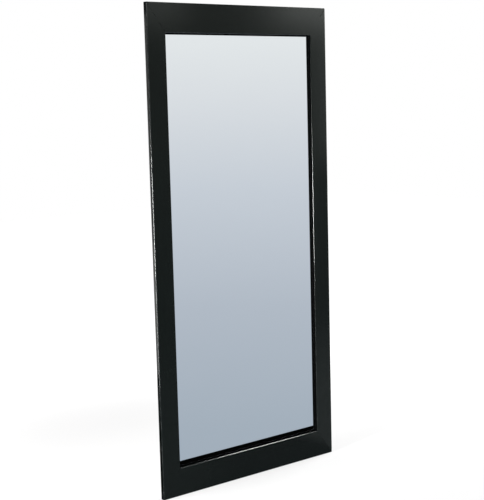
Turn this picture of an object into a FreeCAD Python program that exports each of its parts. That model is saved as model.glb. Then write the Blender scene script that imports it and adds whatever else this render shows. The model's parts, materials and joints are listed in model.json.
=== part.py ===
import FreeCAD, Part
import math
import os

# Full length wall mirror, in millimetres.
# Four lacquered boards, mitred at the corners, hold a silvered pane behind a lip all round.
# A film, a cardboard sheet and a board lie behind the pane, and turn buttons keep the board in.
# Two straps with D shaped rings hang it on two hooks, and four bumpers keep it off the wall.
# X runs across the mirror, Y from its face back to the wall, and Z up.
# The origin is on the wall, midway between the hooks, at the height where the rings take them.

# Frame boards
FRAME_HEIGHT = 1700.0
FRAME_WIDTH = 800.0
RAIL_FACE = 100.0
STILE_FACE = 75.0
LIP_DEPTH = 12.0
LIP_REACH = 10.0
OUTER_EDGE_RADIUS = 2.0
OUTER_CORNER_EASE = 1.0
SIGHT_EDGE_RADIUS = 2.0
SIGHT_CORNER_RADIUS = 3.0
BACK_BEVEL = 8.0
HANG_DROP = 400.0

# Pane, and the layers in front of it and behind it
TAPE_THICKNESS = 0.8
TAPE_WIDTH = 6.0
TAPE_SETBACK = 1.0
GLASS_THICKNESS = 4.0
GLASS_EDGE_GAP = 2.0
FILM_THICKNESS = 0.2
CARDBOARD_THICKNESS = 2.0
BOARD_THICKNESS = 3.0
SHEET_EDGE_GAP = 1.0
SETTING_BLOCK_LENGTH = 40.0
SETTING_BLOCK_INSET = 150.0
SPACER_LENGTH = 30.0
SPACER_INSET = 200.0

# V nails across the mitres, measured along the mitre from the outer corner
V_NAIL_FIRST = 20.0
V_NAIL_PITCH = 36.0
V_NAIL_COUNT = 3
V_NAIL_LEG = 7.0
V_NAIL_THICKNESS = 0.8
V_NAIL_DEPTH = 10.0
V_NAIL_SINK = 0.3
V_NAIL_HALF_ANGLE = 45.0

# Bumpers
BUMPER_HEIGHT = 8.0
BUMPER_RADIUS = 8.0
BUMPER_TIP_RADIUS = 6.5
BUMPER_EDGE_RADIUS = 1.0
BUMPER_BEVEL_GAP = 1.0

# Wood screws of the corner plates and hanger straps
SCREW_RADIUS = 2.0
SCREW_LENGTH = 16.0
SCREW_HEAD_RADIUS = 4.0
SCREW_HEAD_HEIGHT = 2.4
SCREW_HOLE_CLEARANCE = 0.3
PILOT_CLEARANCE = 0.05
PILOT_EXTRA_DEPTH = 0.5
RECESS_WIDTH = 1.0
RECESS_SPAN = 4.0
RECESS_DEPTH = 1.2

# Corner plates
PLATE_BUMPER_GAP = 5.0
PLATE_LEG = 90.0
PLATE_WIDTH = 20.0
PLATE_THICKNESS = 2.0
PLATE_CORNER_RADIUS = 3.0
PLATE_HOLE_FIRST = 32.0
PLATE_HOLE_PITCH = 42.0
PLATE_HOLES_PER_LEG = 2

# Turn buttons, with the pivot measured outward from the edge of the recess
BUTTON_RADIUS = 6.0
BUTTON_REACH = 10.0
BUTTON_THICKNESS = 1.2
BUTTON_LIFT = 0.2
BUTTON_TAB_HEIGHT = 3.0
BUTTON_TAB_WIDTH = 7.0
PIVOT_OFFSET = 7.0
PIVOT_PLAY = 0.1
PIVOT_SCREW_RADIUS = 1.5
PIVOT_SCREW_LENGTH = 12.0
PIVOT_HEAD_RADIUS = 3.3
PIVOT_HEAD_HEIGHT = 1.8
STILE_BUTTON_INSET = 160.0
RAIL_BUTTON_INSET = 130.0

# Hanger straps and their rings
HANGER_INSET = 24.0
STRAP_WIDTH = 14.0
STRAP_LEAF = 1.2
STRAP_HOLE_PITCH = 16.0
STRAP_HOLES = 2
STRAP_END = 9.0
RING_WIRE_RADIUS = 1.5
RING_SIDE_PLAY = 4.0
RING_LEG = 5.0
RING_CORNER_RADIUS = 3.0
RING_SCREW_GAP = 4.0
RING_REST_GAP = 0.3
EYE_CLEARANCE = 0.1

# Levels through the thickness, from the wall forward
STACK_DEPTH = TAPE_THICKNESS + GLASS_THICKNESS + FILM_THICKNESS + CARDBOARD_THICKNESS + BOARD_THICKNESS
Y_BACK = -BUMPER_HEIGHT
Y_LIP = Y_BACK - STACK_DEPTH
Y_FRONT = Y_LIP - LIP_DEPTH
Y_GLASS_FRONT = Y_LIP + TAPE_THICKNESS
Y_GLASS_BACK = Y_GLASS_FRONT + GLASS_THICKNESS
Y_FILM_BACK = Y_GLASS_BACK + FILM_THICKNESS
Y_CARDBOARD_BACK = Y_FILM_BACK + CARDBOARD_THICKNESS

# Outer edge, edge of the recess behind the lip, and sight edge
X_SIDE = FRAME_WIDTH / 2
X_SIGHT = X_SIDE - STILE_FACE
X_RECESS = X_SIGHT + LIP_REACH
Z_TOP = HANG_DROP
Z_BOTTOM = HANG_DROP - FRAME_HEIGHT
Z_SIGHT_TOP = Z_TOP - RAIL_FACE
Z_SIGHT_BOTTOM = Z_BOTTOM + RAIL_FACE
Z_RECESS_TOP = Z_SIGHT_TOP + LIP_REACH
Z_RECESS_BOTTOM = Z_SIGHT_BOTTOM - LIP_REACH

# Pane edges
X_GLASS = X_RECESS - GLASS_EDGE_GAP
Z_GLASS_TOP = Z_RECESS_TOP - GLASS_EDGE_GAP
Z_GLASS_BOTTOM = Z_RECESS_BOTTOM + GLASS_EDGE_GAP

# Strap eye and ring, worked out from the wire and the strap
EYE_BORE = RING_WIRE_RADIUS + EYE_CLEARANCE
EYE_RADIUS = EYE_BORE + STRAP_LEAF
STRAP_STACK = 2 * STRAP_LEAF
RING_HALF_WIDTH = STRAP_WIDTH / 2 + RING_SIDE_PLAY + RING_WIRE_RADIUS
RING_DROP = RING_LEG + RING_HALF_WIDTH
STRAP_HOLE_FIRST = RING_DROP + RING_WIRE_RADIUS + RING_SCREW_GAP + SCREW_HEAD_RADIUS
STRAP_LENGTH = STRAP_HOLE_FIRST + (STRAP_HOLES - 1) * STRAP_HOLE_PITCH + STRAP_END
X_HANGER = X_SIDE - HANGER_INSET
Y_EYE = Y_BACK + EYE_RADIUS
Z_EYE = RING_WIRE_RADIUS - RING_DROP

BUMPER_INSET = BACK_BEVEL + BUMPER_BEVEL_GAP + BUMPER_RADIUS
PLATE_INSET = BUMPER_INSET + BUMPER_RADIUS + PLATE_BUMPER_GAP
BUTTON_SEAT = Y_BACK + BUTTON_LIFT
PIVOT_HEAD_SEAT = BUTTON_SEAT + BUTTON_THICKNESS + BUTTON_LIFT

SIDES = (("left", -1), ("right", 1))
ENDS = (("top", 1), ("bottom", -1))
TINY = 1e-6


def vec(x, y, z):
    return FreeCAD.Vector(x, y, z)


def slab(x0, x1, y0, y1, z0, z1):
    """Box between two corners."""
    return Part.makeBox(x1 - x0, y1 - y0, z1 - z0, vec(x0, y0, z0))


def post(radius, y0, y1, x, z):
    """Cylinder along Y."""
    return Part.makeCylinder(radius, y1 - y0, vec(x, y0, z), vec(0, 1, 0))


def plate(points, y0, y1):
    """Flat piece of the outline given as (x, z) points, from y0 to y1."""
    outline = [vec(x, y0, z) for x, z in points]
    return Part.Face(Part.makePolygon(outline + outline[:1])).extrude(vec(0, y1 - y0, 0))


def edges_at(shape, y):
    """Edges that lie flat at one level."""
    return [edge for edge in shape.Edges if all(abs(v.Y - y) < TINY for v in edge.Vertexes)]


def edges_through(shape):
    """Straight edges that run along Y."""
    ends = [(edge, edge.Vertexes[0].Point, edge.Vertexes[-1].Point) for edge in shape.Edges]
    return [edge for edge, a, b in ends if math.hypot(a.x - b.x, a.z - b.z) < TINY]


def edge_height(end):
    """Height of the top edge for end 1 and of the bottom edge for end -1."""
    return Z_TOP if end > 0 else Z_BOTTOM


# Frame boards

def bevelled_block():
    """Outer block of the frame, with its back edges cut away at 45 degrees to look thin on the wall."""
    y_bevel = Y_BACK - BACK_BEVEL
    front = slab(-X_SIDE, X_SIDE, Y_FRONT, y_bevel, Z_BOTTOM, Z_TOP)
    back = Part.makeWedge(-X_SIDE, y_bevel, Z_BOTTOM, Z_BOTTOM + BACK_BEVEL, BACK_BEVEL - X_SIDE,
                          X_SIDE, Y_BACK, Z_TOP, Z_TOP - BACK_BEVEL, X_SIDE - BACK_BEVEL)
    return front.fuse(back).removeSplitter()


def frame_blank():
    """The frame as glued up: rounded over outside and inside, and recessed from behind."""
    blank = slab(-X_SIDE, X_SIDE, Y_FRONT, Y_BACK, Z_BOTTOM, Z_TOP)
    blank = blank.makeFillet(OUTER_EDGE_RADIUS + OUTER_CORNER_EASE, edges_through(blank))
    blank = blank.makeFillet(OUTER_EDGE_RADIUS, edges_at(blank, Y_FRONT))
    blank = blank.common(bevelled_block())
    opening = slab(-X_SIGHT, X_SIGHT, Y_FRONT, Y_BACK, Z_SIGHT_BOTTOM, Z_SIGHT_TOP)
    blank = blank.cut(opening.makeFillet(SIGHT_CORNER_RADIUS, edges_through(opening)))
    sight_edges = [edge for edge in edges_at(blank, Y_FRONT)
                   if all(abs(v.X) < X_SIGHT + TINY for v in edge.Vertexes)]
    blank = blank.makeFillet(SIGHT_EDGE_RADIUS, sight_edges)
    return blank.cut(slab(-X_RECESS, X_RECESS, Y_LIP, Y_BACK, Z_RECESS_BOTTOM, Z_RECESS_TOP))


def mitre_wedge(corners):
    """Prism over one board, between the mitres at its two ends, given as (x sign, end) pairs."""
    outer = []
    sight = []
    for x_sign, end in corners:
        outer.append((x_sign * (X_SIDE + STILE_FACE), edge_height(end) + end * RAIL_FACE))
        sight.append((x_sign * X_SIGHT, edge_height(end) - end * RAIL_FACE))
    return plate(outer + sight[::-1], Y_FRONT, Y_BACK)


def v_nail_spots():
    """Apex of each V nail, and the heading of the mitre inward from it."""
    mitre_length = math.hypot(STILE_FACE, RAIL_FACE)
    spots = []
    for _, x_sign in SIDES:
        for _, end in ENDS:
            inward = math.atan2(-end * RAIL_FACE, -x_sign * STILE_FACE)
            for number in range(V_NAIL_COUNT):
                along = (V_NAIL_FIRST + number * V_NAIL_PITCH) / mitre_length
                x = x_sign * (X_SIDE - along * STILE_FACE)
                z = edge_height(end) - end * along * RAIL_FACE
                spots.append((x, z, inward))
    return spots


def v_nail(x, z, inward, y_head):
    """Bent strip of steel across the mitre, from its depth up to y_head."""
    y_point = Y_BACK - V_NAIL_DEPTH
    legs = []
    for turn in (-V_NAIL_HALF_ANGLE, V_NAIL_HALF_ANGLE):
        leg = slab(0, V_NAIL_LEG, y_point, y_head, -V_NAIL_THICKNESS / 2, V_NAIL_THICKNESS / 2)
        leg.rotate(vec(0, 0, 0), vec(0, 1, 0), -math.degrees(inward) - turn)
        legs.append(leg)
    nail = legs[0].fuse(legs[1]).removeSplitter()
    nail.translate(vec(x, 0, z))
    return nail


# Screws

def pan_screw(radius, length, head_radius, head_height):
    """Pan head screw with a cross recess, its head seated at the origin and facing +Y."""
    rim = head_height / 3
    rise = head_height - rim
    dome = (head_radius ** 2 + rise ** 2) / (2 * rise)
    half = head_radius / 2
    shoulder = head_height - dome + math.sqrt(dome ** 2 - half ** 2)
    points = [(0, -length), (radius, radius - length), (radius, 0), (head_radius, 0), (head_radius, rim)]
    corners = [vec(r, y, 0) for r, y in points]
    crown = vec(0, head_height, 0)
    edges = [Part.LineSegment(a, b).toShape() for a, b in zip(corners, corners[1:])]
    edges.append(Part.Arc(corners[-1], vec(half, shoulder, 0), crown).toShape())
    edges.append(Part.LineSegment(crown, corners[0]).toShape())
    screw = Part.Face(Part.Wire(edges)).revolve(vec(0, 0, 0), vec(0, 1, 0), 360)
    floor = head_height - RECESS_DEPTH
    across = slab(-RECESS_SPAN / 2, RECESS_SPAN / 2, floor, head_height, -RECESS_WIDTH / 2, RECESS_WIDTH / 2)
    upright = slab(-RECESS_WIDTH / 2, RECESS_WIDTH / 2, floor, head_height, -RECESS_SPAN / 2, RECESS_SPAN / 2)
    return screw.cut(across.fuse(upright))


def screw_group(spots, seat, radius, length, head_radius, head_height):
    """The same screw at each (x, z) spot, with its head on the level given as seat."""
    screws = []
    for x, z in spots:
        screw = pan_screw(radius, length, head_radius, head_height)
        screw.translate(vec(x, seat, z))
        screws.append(screw)
    return Part.makeCompound(screws)


def pilot_holes(spots, seat, radius, length):
    """Holes in the boards for one group of screws."""
    deep = seat - length - PILOT_EXTRA_DEPTH
    return [post(radius + PILOT_CLEARANCE, deep, seat, x, z) for x, z in spots]


# Corner plates

def corner_plate_holes(x_sign, end):
    """Hole centres of one corner plate, two in each leg."""
    middle = PLATE_INSET + PLATE_WIDTH / 2
    spots = []
    for number in range(PLATE_HOLES_PER_LEG):
        along = PLATE_INSET + PLATE_HOLE_FIRST + number * PLATE_HOLE_PITCH
        spots.append((x_sign * (X_SIDE - along), edge_height(end) - end * middle))
        spots.append((x_sign * (X_SIDE - middle), edge_height(end) - end * along))
    return spots


def corner_plate(x_sign, end):
    """Flat steel angle over one mitre."""
    near = PLATE_INSET
    inner = PLATE_INSET + PLATE_WIDTH
    far = PLATE_INSET + PLATE_LEG
    insets = [(near, near), (far, near), (far, inner), (inner, inner), (inner, far), (near, far)]
    points = [(x_sign * (X_SIDE - a), edge_height(end) - end * b) for a, b in insets]
    angle = plate(points, Y_BACK, Y_BACK + PLATE_THICKNESS)
    angle = angle.makeFillet(PLATE_CORNER_RADIUS, edges_through(angle))
    for x, z in corner_plate_holes(x_sign, end):
        angle = angle.cut(post(SCREW_RADIUS + SCREW_HOLE_CLEARANCE, Y_BACK, Y_BACK + PLATE_THICKNESS, x, z))
    return angle


# Turn buttons

def turn_button_spots():
    """Name, pivot and turn about Y of each button, all pointing in over the backing board."""
    middle = (Z_RECESS_TOP + Z_RECESS_BOTTOM) / 2
    heights = (("upper", Z_RECESS_TOP - STILE_BUTTON_INSET), ("middle", middle),
               ("lower", Z_RECESS_BOTTOM + STILE_BUTTON_INSET))
    spots = []
    for side, x_sign in SIDES:
        for level, z in heights:
            turn = 180 if x_sign > 0 else 0
            spots.append((f"{side}_{level}", x_sign * (X_RECESS + PIVOT_OFFSET), z, turn))
    rails = (("top", Z_RECESS_TOP + PIVOT_OFFSET, 90), ("bottom", Z_RECESS_BOTTOM - PIVOT_OFFSET, -90))
    for edge, z, turn in rails:
        for side, x_sign in SIDES:
            spots.append((f"{edge}_{side}", x_sign * (X_RECESS - RAIL_BUTTON_INSET), z, turn))
    return spots


def turn_button(x, z, turn):
    """Round ended steel tongue with a finger tab at its tip and a hole for the pivot."""
    top = BUTTON_SEAT + BUTTON_THICKNESS
    tongue = slab(0, BUTTON_REACH, BUTTON_SEAT, top, -BUTTON_RADIUS, BUTTON_RADIUS)
    tongue = tongue.fuse([post(BUTTON_RADIUS, BUTTON_SEAT, top, 0, 0),
                          post(BUTTON_RADIUS, BUTTON_SEAT, top, BUTTON_REACH, 0)]).removeSplitter()
    tab_root = BUTTON_REACH + BUTTON_RADIUS / 2 - BUTTON_THICKNESS / 2
    tab = slab(tab_root, tab_root + BUTTON_THICKNESS, top, top + BUTTON_TAB_HEIGHT,
               -BUTTON_TAB_WIDTH / 2, BUTTON_TAB_WIDTH / 2)
    button = tongue.fuse(tab).removeSplitter()
    button = button.cut(post(PIVOT_SCREW_RADIUS + PIVOT_PLAY, BUTTON_SEAT, top, 0, 0))
    button.rotate(vec(0, 0, 0), vec(0, 1, 0), turn)
    button.translate(vec(x, 0, z))
    return button


# Hangers

def strap_holes(x_sign):
    """Screw holes of one strap, below the reach of the ring."""
    highest = Z_EYE - STRAP_HOLE_FIRST
    return [(x_sign * X_HANGER, highest - number * STRAP_HOLE_PITCH) for number in range(STRAP_HOLES)]


def hanger_strap(x_sign):
    """Steel strip folded double, with the fold rolled into an eye for the ring."""
    x = x_sign * X_HANGER
    half = STRAP_WIDTH / 2
    y_top = Y_BACK + STRAP_STACK
    z_round = Z_EYE - STRAP_LENGTH + half
    leaves = slab(x - half, x + half, Y_BACK, y_top, z_round, Z_EYE)
    leaves = leaves.fuse(post(half, Y_BACK, y_top, x, z_round))
    eye = Part.makeCylinder(EYE_RADIUS, STRAP_WIDTH, vec(x - half, Y_EYE, Z_EYE), vec(1, 0, 0))
    bore = Part.makeCylinder(EYE_BORE, STRAP_WIDTH, vec(x - half, Y_EYE, Z_EYE), vec(1, 0, 0))
    strap = leaves.fuse(eye).removeSplitter().cut(bore)
    for hole_x, hole_z in strap_holes(x_sign):
        strap = strap.cut(post(SCREW_RADIUS + SCREW_HOLE_CLEARANCE, Y_BACK, y_top, hole_x, hole_z))
    return strap


def bent_wire(radius, centre, start, sweep):
    """Arc of round wire in the XZ plane, from the start angle through the sweep, in degrees."""
    arc = Part.makeTorus(radius, RING_WIRE_RADIUS, vec(0, 0, 0), vec(0, 0, 1), 0, 360, sweep)
    arc.rotate(vec(0, 0, 0), vec(0, 0, 1), start)
    arc.rotate(vec(0, 0, 0), vec(1, 0, 0), 90)
    arc.translate(centre)
    return arc


def ring_rest_angle():
    """How far the hanging ring leans out, so that its bow lies just clear of the strap."""
    bow = RING_LEG + math.sqrt(RING_HALF_WIDTH ** 2 - (STRAP_WIDTH / 2) ** 2)
    lift = STRAP_STACK + RING_REST_GAP + RING_WIRE_RADIUS - EYE_RADIUS
    return math.degrees(math.asin(lift / bow))


def hanger_ring(x_sign):
    """D shaped ring of round wire, with its straight bar in the eye and its bow hanging down."""
    bar_half = RING_HALF_WIDTH - RING_CORNER_RADIUS
    bar = Part.makeCylinder(RING_WIRE_RADIUS, 2 * bar_half, vec(-bar_half, 0, 0), vec(1, 0, 0))
    bow = bent_wire(RING_HALF_WIDTH, vec(0, 0, -RING_LEG), 180, 180)
    pieces = [bow]
    for _, side in SIDES:
        pieces.append(bent_wire(RING_CORNER_RADIUS, vec(side * bar_half, 0, -RING_CORNER_RADIUS),
                                0 if side > 0 else 90, 90))
        pieces.append(Part.makeCylinder(RING_WIRE_RADIUS, RING_LEG - RING_CORNER_RADIUS,
                                        vec(side * RING_HALF_WIDTH, 0, -RING_LEG), vec(0, 0, 1)))
    ring = bar.fuse(pieces).removeSplitter()
    ring.rotate(vec(0, 0, 0), vec(1, 0, 0), ring_rest_angle())
    ring.translate(vec(x_sign * X_HANGER, Y_EYE, Z_EYE))
    return ring


# Pane and the layers behind it

def glazing_tapes():
    """Four strips of soft tape on the back of the lip, butted at the corners."""
    near = TAPE_SETBACK
    far = TAPE_SETBACK + TAPE_WIDTH
    tapes = {}
    for side, x_sign in SIDES:
        across = sorted((x_sign * (X_SIGHT + near), x_sign * (X_SIGHT + far)))
        tapes[f"glazing_tape_{side}"] = slab(across[0], across[1], Y_LIP, Y_GLASS_FRONT,
                                             Z_SIGHT_BOTTOM - near, Z_SIGHT_TOP + near)
    tapes["glazing_tape_top"] = slab(-X_SIGHT - far, X_SIGHT + far, Y_LIP, Y_GLASS_FRONT,
                                     Z_SIGHT_TOP + near, Z_SIGHT_TOP + far)
    tapes["glazing_tape_bottom"] = slab(-X_SIGHT - far, X_SIGHT + far, Y_LIP, Y_GLASS_FRONT,
                                        Z_SIGHT_BOTTOM - far, Z_SIGHT_BOTTOM - near)
    return tapes


def setting_blocks():
    """Two blocks that carry the pane on the floor of the recess."""
    blocks = []
    for _, x_sign in SIDES:
        middle = x_sign * (X_GLASS - SETTING_BLOCK_INSET)
        blocks.append(slab(middle - SETTING_BLOCK_LENGTH / 2, middle + SETTING_BLOCK_LENGTH / 2,
                           Y_GLASS_FRONT, Y_GLASS_BACK, Z_RECESS_BOTTOM, Z_GLASS_BOTTOM))
    return Part.makeCompound(blocks)


def edge_spacers():
    """Small pads that centre the pane at its sides and top."""
    half = SPACER_LENGTH / 2
    pads = []
    for _, x_sign in SIDES:
        across = sorted((x_sign * X_GLASS, x_sign * X_RECESS))
        for z in (Z_GLASS_TOP - SPACER_INSET, Z_GLASS_BOTTOM + SPACER_INSET):
            pads.append(slab(across[0], across[1], Y_GLASS_FRONT, Y_GLASS_BACK, z - half, z + half))
        x = x_sign * (X_GLASS - SPACER_INSET)
        pads.append(slab(x - half, x + half, Y_GLASS_FRONT, Y_GLASS_BACK, Z_GLASS_TOP, Z_RECESS_TOP))
    return Part.makeCompound(pads)


def back_sheet(y0, y1):
    """A sheet behind the pane, standing on the floor of the recess."""
    half = X_RECESS - SHEET_EDGE_GAP
    return slab(-half, half, y0, y1, Z_RECESS_BOTTOM, Z_RECESS_TOP - SHEET_EDGE_GAP)


# Bumpers

def wall_bumpers():
    """Tapered rubber feet at the four corners of the back."""
    bumpers = []
    for _, x_sign in SIDES:
        for _, end in ENDS:
            foot = Part.makeCone(BUMPER_RADIUS, BUMPER_TIP_RADIUS, BUMPER_HEIGHT,
                                 vec(0, Y_BACK, 0), vec(0, 1, 0))
            foot = foot.makeFillet(BUMPER_EDGE_RADIUS, edges_at(foot, 0))
            foot.translate(vec(x_sign * (X_SIDE - BUMPER_INSET), 0, edge_height(end) - end * BUMPER_INSET))
            bumpers.append(foot)
    return Part.makeCompound(bumpers)


# Assembly

def build():
    """All pieces by name."""
    parts = {}
    plate_spots = []
    for end_name, end in ENDS:
        for side, x_sign in SIDES:
            parts[f"corner_plate_{end_name}_{side}"] = corner_plate(x_sign, end)
            plate_spots += corner_plate_holes(x_sign, end)
    strap_spots = strap_holes(-1) + strap_holes(1)
    for side, x_sign in SIDES:
        parts[f"hanger_strap_{side}"] = hanger_strap(x_sign)
        parts[f"hanger_ring_{side}"] = hanger_ring(x_sign)
    buttons = turn_button_spots()
    pivot_spots = [(x, z) for _, x, z, _ in buttons]
    for name, x, z, turn in buttons:
        parts[f"turn_button_{name}"] = turn_button(x, z, turn)

    plate_seat = Y_BACK + PLATE_THICKNESS
    strap_seat = Y_BACK + STRAP_STACK
    wood_screw = (SCREW_RADIUS, SCREW_LENGTH, SCREW_HEAD_RADIUS, SCREW_HEAD_HEIGHT)
    pivot_screw = (PIVOT_SCREW_RADIUS, PIVOT_SCREW_LENGTH, PIVOT_HEAD_RADIUS, PIVOT_HEAD_HEIGHT)
    parts["corner_plate_screws"] = screw_group(plate_spots, plate_seat, *wood_screw)
    parts["hanger_screws"] = screw_group(strap_spots, strap_seat, *wood_screw)
    parts["turn_button_screws"] = screw_group(pivot_spots, PIVOT_HEAD_SEAT, *pivot_screw)
    nail_spots = v_nail_spots()
    parts["mitre_v_nails"] = Part.makeCompound([v_nail(*spot, Y_BACK - V_NAIL_SINK) for spot in nail_spots])

    cuts = [v_nail(*spot, Y_BACK) for spot in nail_spots]
    cuts += pilot_holes(plate_spots, plate_seat, SCREW_RADIUS, SCREW_LENGTH)
    cuts += pilot_holes(strap_spots, strap_seat, SCREW_RADIUS, SCREW_LENGTH)
    cuts += pilot_holes(pivot_spots, PIVOT_HEAD_SEAT, PIVOT_SCREW_RADIUS, PIVOT_SCREW_LENGTH)
    blank = frame_blank().cut(Part.makeCompound(cuts))
    boards = {
        "top_rail": ((-1, 1), (1, 1)),
        "bottom_rail": ((-1, -1), (1, -1)),
        "left_stile": ((-1, 1), (-1, -1)),
        "right_stile": ((1, 1), (1, -1)),
    }
    for name, corners in boards.items():
        parts[name] = blank.common(mitre_wedge(corners))

    parts.update(glazing_tapes())
    parts["mirror_glass"] = slab(-X_GLASS, X_GLASS, Y_GLASS_FRONT, Y_GLASS_BACK, Z_GLASS_BOTTOM, Z_GLASS_TOP)
    parts["safety_film"] = slab(-X_GLASS, X_GLASS, Y_GLASS_BACK, Y_FILM_BACK, Z_GLASS_BOTTOM, Z_GLASS_TOP)
    parts["setting_blocks"] = setting_blocks()
    parts["edge_spacers"] = edge_spacers()
    parts["cardboard_sheet"] = back_sheet(Y_FILM_BACK, Y_CARDBOARD_BACK)
    parts["backing_board"] = back_sheet(Y_CARDBOARD_BACK, Y_BACK)
    parts["wall_bumpers"] = wall_bumpers()
    return parts


os.makedirs("parts", exist_ok=True)
for node, shape in build().items():
    shape.exportStep(f"parts/{node}.step")
    print(f"{node}: {len(shape.Solids)} solids, {shape.Volume:.0f} mm3, valid {shape.isValid()}")
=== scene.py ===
# %% [markdown]
# This lesson dresses a full length mirror: a silvered pane in a wide black lacquered frame that hangs
# on two hooks. The solids were modelled elsewhere and come in as a fixed frame, already in their places.
# Here they get a camera, a studio and a finish each, and the screws are made again with more detail.

# %% Load the solids
import json
import math

import bmesh
import bpy
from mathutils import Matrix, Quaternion, Vector


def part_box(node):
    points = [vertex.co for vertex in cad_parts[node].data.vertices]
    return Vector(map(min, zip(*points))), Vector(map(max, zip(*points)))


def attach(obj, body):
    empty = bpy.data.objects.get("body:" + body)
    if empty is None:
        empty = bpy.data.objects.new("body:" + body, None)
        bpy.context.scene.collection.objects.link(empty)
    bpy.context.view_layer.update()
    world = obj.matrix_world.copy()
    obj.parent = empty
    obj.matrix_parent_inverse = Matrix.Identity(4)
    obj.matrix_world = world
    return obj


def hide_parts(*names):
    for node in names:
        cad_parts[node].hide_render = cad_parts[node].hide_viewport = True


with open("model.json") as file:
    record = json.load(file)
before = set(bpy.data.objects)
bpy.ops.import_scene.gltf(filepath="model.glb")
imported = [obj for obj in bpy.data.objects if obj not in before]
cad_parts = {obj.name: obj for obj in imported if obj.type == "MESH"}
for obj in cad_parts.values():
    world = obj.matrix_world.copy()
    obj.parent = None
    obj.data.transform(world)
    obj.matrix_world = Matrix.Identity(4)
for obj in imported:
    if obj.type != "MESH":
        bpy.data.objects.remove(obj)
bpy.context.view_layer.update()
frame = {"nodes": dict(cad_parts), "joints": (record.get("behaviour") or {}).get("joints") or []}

# %% [markdown]
# A few sizes of the frame are needed again and again: its outer edges, the sight edge where the boards
# end and the pane begins, and the levels of the front and the back. They could be typed in from a drawing.
# Reading them from the boxes of the solids is safer, because the looks then follow the solids.

# %% Sizes of the frame
rail_low, rail_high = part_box("top_rail")
foot_low, foot_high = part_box("bottom_rail")
side_low, side_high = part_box("right_stile")
HALF_WIDTH = rail_high.x
HALF_HEIGHT = (rail_high.z - foot_low.z) / 2
MIDDLE_HEIGHT = (rail_high.z + foot_low.z) / 2
STILE_FACE = side_high.x - side_low.x
RAIL_FACE = rail_high.z - rail_low.z
FRONT_LEVEL = rail_low.y
BACK_LEVEL = rail_high.y
FLOOR_LEVEL = foot_low.z
HALF_SIGHT_WIDTH = HALF_WIDTH - STILE_FACE
HALF_SIGHT_HEIGHT = HALF_HEIGHT - RAIL_FACE
print("frame", round(2 * HALF_WIDTH, 3), "by", round(2 * HALF_HEIGHT, 3), "m")
print("stile face", round(STILE_FACE, 3), "rail face", round(RAIL_FACE, 3), "m")

# %% [markdown]
# The mirror is seen from its left and a little from above, so the camera stands at the upper half of it,
# four metres off, and tips down. A place, a point to look at and a small roll say that in plain numbers.
# A long lens keeps the sides nearly parallel, as they are in a catalogue picture.

# %% Camera
CAMERA_PLACE = Vector((-2.5606, -3.1991, 0.0775))
CAMERA_AIM = Vector((-0.0236, -0.0300, -0.4609))
CAMERA_ROLL = math.radians(-1.508)
CAMERA_LENS = 82.396


def facing(place, aim, roll=0.0):
    """Turn that points a camera or a lamp from place to aim, then rolls it about that line."""
    return (aim - place).to_track_quat("-Z", "Y") @ Quaternion((0, 0, 1), roll)


lens = bpy.data.cameras.new("camera")
lens.lens = CAMERA_LENS
camera = bpy.data.objects.new("camera", lens)
camera.location = CAMERA_PLACE
camera.rotation_euler = facing(CAMERA_PLACE, CAMERA_AIM, CAMERA_ROLL).to_euler()
bpy.context.scene.collection.objects.link(camera)
bpy.context.scene.camera = camera
print("camera", round((CAMERA_AIM - CAMERA_PLACE).length, 2), "m from the frame")

# %% [markdown]
# Node trees could be wired by hand, one link after another, but sums of sockets soon become unreadable.
# So one small class wraps a socket and lets Python's own operators add the Math nodes. A second one
# holds a tree and adds any other node: its settings first, then a value or a link for each socket.

# %% Helpers for node trees
class Wire:
    """One output of a node that can be used in Python sums."""

    def __init__(self, bench, output):
        self.bench = bench
        self.output = output

    def math(self, operation, *terms):
        return self.bench.node("ShaderNodeMath", {"operation": operation}, dict(enumerate(terms)))

    def __add__(self, other):
        return self.math("ADD", self, other)

    def __radd__(self, other):
        return self.math("ADD", other, self)

    def __sub__(self, other):
        return self.math("SUBTRACT", self, other)

    def __rsub__(self, other):
        return self.math("SUBTRACT", other, self)

    def __mul__(self, other):
        return self.math("MULTIPLY", self, other)

    def __rmul__(self, other):
        return self.math("MULTIPLY", other, self)

    def __truediv__(self, other):
        return self.math("DIVIDE", self, other)

    def __pow__(self, other):
        return self.math("POWER", self, other)

    def __abs__(self):
        return self.math("ABSOLUTE", self)

    def least(self, other):
        return self.math("MINIMUM", self, other)

    def most(self, other):
        return self.math("MAXIMUM", self, other)

    def sine(self):
        return self.math("SINE", self)


class Bench:
    """A node tree that is being wired up."""

    def __init__(self, tree):
        self.tree = tree

    def node(self, kind, settings=None, sockets=None, out=0):
        added = self.tree.nodes.new(kind)
        for name, value in (settings or {}).items():
            if name == "stops":
                set_stops(added.color_ramp.elements, value)
            else:
                setattr(added, name, value)
        for name, value in (sockets or {}).items():
            for one in value if isinstance(value, list) else [value]:
                if isinstance(one, Wire):
                    self.tree.links.new(one.output, added.inputs[name])
                else:
                    added.inputs[name].default_value = one
        return Wire(self, added.outputs[out]) if len(added.outputs) else added

    def mix(self, share, under, over):
        """Colour between under and over."""
        return self.node("ShaderNodeMix", {"data_type": "RGBA"}, {0: share, 6: under, 7: over}, out=2)

    def step(self, value, start, end):
        """Smooth rise from 0 at start to 1 at end."""
        return self.node("ShaderNodeMapRange", {"interpolation_type": "SMOOTHSTEP"},
                         {"Value": value, "From Min": start, "From Max": end})


def set_stops(elements, stops):
    """Give a colour ramp its stops, each a position and a colour."""
    while len(elements) < len(stops):
        elements.new(1.0)
    for element, (position, colour) in zip(elements, stops):
        element.position = position
        element.color = (*colour, 1.0)


def grey(value):
    """A colour without a hue."""
    return (value, value, value, 1)


print("socket operators ready:", len([name for name in vars(Wire) if name.startswith("__")]))

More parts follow.
